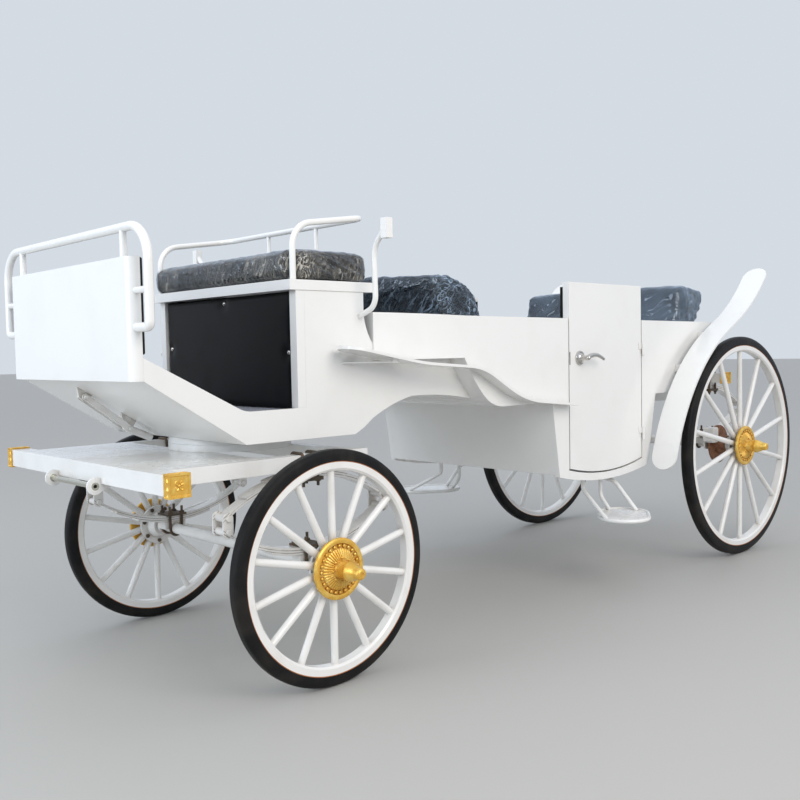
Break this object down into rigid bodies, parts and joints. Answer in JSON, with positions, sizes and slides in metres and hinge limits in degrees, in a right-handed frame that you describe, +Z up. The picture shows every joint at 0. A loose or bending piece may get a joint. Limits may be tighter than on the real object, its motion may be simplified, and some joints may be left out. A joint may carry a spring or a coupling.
{
  "type": "open horse-drawn carriage",
  "caption": "Open horse-drawn carriage: driver's box with dash and railed seat, tub with two facing seats and side doors, spoked wheels on elliptic springs, steered front gear.",
  "frame": {"origin": "on the ground, below the middle of the whole vehicle's box", "axes": "+X to the carriage's left, +Y to its back, +Z up; it travels towards -Y"},
  "size_m": [1.56, 3.819, 1.5465],
  "materials": {
    "white_paint": "gloss",
    "tyre_rubber": "matte",
    "gold_paint": "satin cast, painted gold",
    "black_leathercloth": "satin, under clear film",
    "black_panel": "satin",
    "rusty_steel": "rough, rusted",
    "chrome": "polished",
    "carpet": "matte"
  },
  "bodies": {
    "body": {"back_panel": "white_paint", "belly": "white_paint", "benches": "white_paint", "brake_calipers": "white_paint", "brake_linkage": "white_paint", "dash": "white_paint", "dash_rail": "white_paint", "driver_box_sides": "white_paint", "driver_cushion": "black_leathercloth", "driver_floor": "carpet", "foot_well": "white_paint", "footboard": "white_paint", "front_mudguards": "white_paint", "front_quarters": "white_paint", "front_seat_back": "black_leathercloth", "front_seat_cushion": "black_leathercloth", "front_wall": "white_paint", "lamp_brackets": "white_paint", "rear_axle": "white_paint", "rear_beam_caps": "gold_paint", "rear_frame": "white_paint", "rear_mudguards": "white_paint", "rear_quarters": "white_paint", "rear_seat_back": "black_leathercloth", "rear_seat_cushion": "black_leathercloth", "rear_springs": "white_paint", "seat_frame": "white_paint", "seat_front_panel": "black_panel", "seat_guard_rail": "white_paint", "steps": "white_paint", "turntable_upper": "white_paint"},
    "front_gear": {"deck_frame": "white_paint", "deck_plates": "white_paint", "deck_caps": "gold_paint", "pole_bracket": "white_paint", "turntable_lower": "white_paint", "front_springs": "white_paint", "front_axle": "white_paint"},
    "front_wheel_left": {"wheel_front_left": "white_paint", "tyre_front_left": "tyre_rubber", "hub_cap_front_left": "gold_paint"},
    "front_wheel_right": {"wheel_front_right": "white_paint", "tyre_front_right": "tyre_rubber", "hub_cap_front_right": "gold_paint"},
    "rear_wheel_left": {"wheel_rear_left": "white_paint", "tyre_rear_left": "tyre_rubber", "hub_cap_rear_left": "gold_paint", "brake_disc_left": "rusty_steel"},
    "rear_wheel_right": {"wheel_rear_right": "white_paint", "tyre_rear_right": "tyre_rubber", "hub_cap_rear_right": "gold_paint", "brake_disc_right": "rusty_steel"},
    "door_left": {"door_left": "white_paint", "door_handle_left": "chrome"},
    "door_right": {"door_right": "white_paint", "door_handle_right": "chrome"}
  },
  "joints": [
    {"name": "steering", "type": "hinge", "parent": "body", "child": "front_gear", "pos_m": [0, -1.2895, 0.762], "axis": [0, 0, 1], "range_deg": [-60, 60]},
    {"name": "front_wheel_left_turn", "type": "hinge", "parent": "front_gear", "child": "front_wheel_left", "pos_m": [0.574, -1.2895, 0.3815], "axis": [1, 0, 0], "continuous": true},
    {"name": "front_wheel_right_turn", "type": "hinge", "parent": "front_gear", "child": "front_wheel_right", "pos_m": [-0.574, -1.2895, 0.3815], "axis": [1, 0, 0], "continuous": true},
    {"name": "rear_wheel_left_turn", "type": "hinge", "parent": "body", "child": "rear_wheel_left", "pos_m": [0.634, 1.3545, 0.555], "axis": [1, 0, 0], "continuous": true},
    {"name": "rear_wheel_right_turn", "type": "hinge", "parent": "body", "child": "rear_wheel_right", "pos_m": [-0.634, 1.3545, 0.555], "axis": [1, 0, 0], "continuous": true},
    {"name": "door_left_swing", "type": "hinge", "parent": "body", "child": "door_left", "pos_m": [0.529, 0.62, 0.86], "axis": [0, 0, 1], "range_deg": [0, 90]},
    {"name": "door_right_swing", "type": "hinge", "parent": "body", "child": "door_right", "pos_m": [-0.529, 0.62, 0.86], "axis": [0, 0, -1], "range_deg": [0, 90]}
  ]
}
